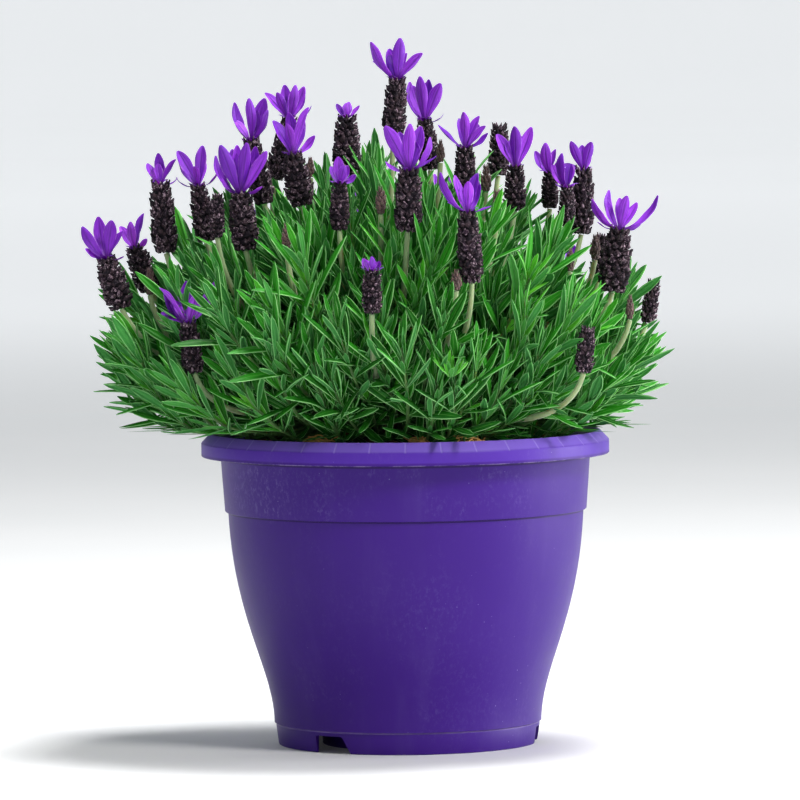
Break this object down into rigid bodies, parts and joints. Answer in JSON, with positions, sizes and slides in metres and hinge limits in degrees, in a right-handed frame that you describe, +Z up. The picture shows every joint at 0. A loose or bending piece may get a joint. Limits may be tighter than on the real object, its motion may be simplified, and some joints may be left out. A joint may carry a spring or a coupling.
{
  "type": "potted lavender",
  "caption": "Tufted lavender with dark flower heads and violet bracts over narrow green leaves, in a round purple plastic nursery pot.",
  "frame": {"origin": "centre of the flat middle of the pot's base, at ground level, on the pot's axis", "axes": "+Z up along the pot's axis, -Y to the front, +X to the right of someone facing the front"},
  "size_m": [0.2761, 0.2572, 0.3319],
  "materials": {
    "pot_plastic": "satin purple plastic with faint scuffs and specks",
    "potting_soil": null,
    "old_wood": "grey-brown bark",
    "green_leaves": null,
    "dark_scales": "downy purple-black scales",
    "violet_bracts": "thin violet bracts with darker veins"
  },
  "bodies": {
    "root": {"flower_petals_01": "violet_bracts", "flower_petals_02": "violet_bracts", "flower_petals_03": "violet_bracts", "flower_petals_04": "violet_bracts", "flower_petals_05": "violet_bracts", "flower_petals_06": "violet_bracts", "flower_petals_07": "violet_bracts", "flower_petals_08": "violet_bracts", "flower_petals_09": "violet_bracts", "flower_petals_10": "violet_bracts", "flower_petals_11": "violet_bracts", "flower_petals_12": "violet_bracts", "flower_petals_13": "violet_bracts", "flower_petals_14": "violet_bracts", "flower_petals_15": "violet_bracts", "flower_petals_17": "violet_bracts", "flower_petals_18": "violet_bracts", "flower_petals_19": "violet_bracts", "flower_petals_20": "violet_bracts", "flower_petals_21": "violet_bracts", "flower_spike_01": "dark_scales", "flower_spike_02": "dark_scales", "flower_spike_03": "dark_scales", "flower_spike_04": "dark_scales", "flower_spike_05": "dark_scales", "flower_spike_06": "dark_scales", "flower_spike_07": "dark_scales", "flower_spike_08": "dark_scales", "flower_spike_09": "dark_scales", "flower_spike_10": "dark_scales", "flower_spike_11": "dark_scales", "flower_spike_12": "dark_scales", "flower_spike_13": "dark_scales", "flower_spike_14": "dark_scales", "flower_spike_15": "dark_scales", "flower_spike_16": "dark_scales", "flower_spike_17": "dark_scales", "flower_spike_18": "dark_scales", "flower_spike_19": "dark_scales", "flower_spike_20": "dark_scales", "flower_spike_21": "dark_scales", "flower_spike_22": "dark_scales", "flower_spike_23": "dark_scales", "flower_spike_24": "dark_scales", "leafy_branch_01": "green_leaves", "leafy_branch_02": "green_leaves", "leafy_branch_03": "green_leaves", "leafy_branch_04": "green_leaves", "leafy_branch_05": "green_leaves", "leafy_branch_06": "green_leaves", "leafy_branch_07": "green_leaves", "leafy_branch_08": "green_leaves", "leafy_branch_09": "green_leaves", "leafy_branch_10": "green_leaves", "leafy_branch_11": "green_leaves", "leafy_branch_12": "green_leaves", "pot": "pot_plastic", "soil": "potting_soil", "woody_crown": "old_wood"}
  },
  "joints": []
}
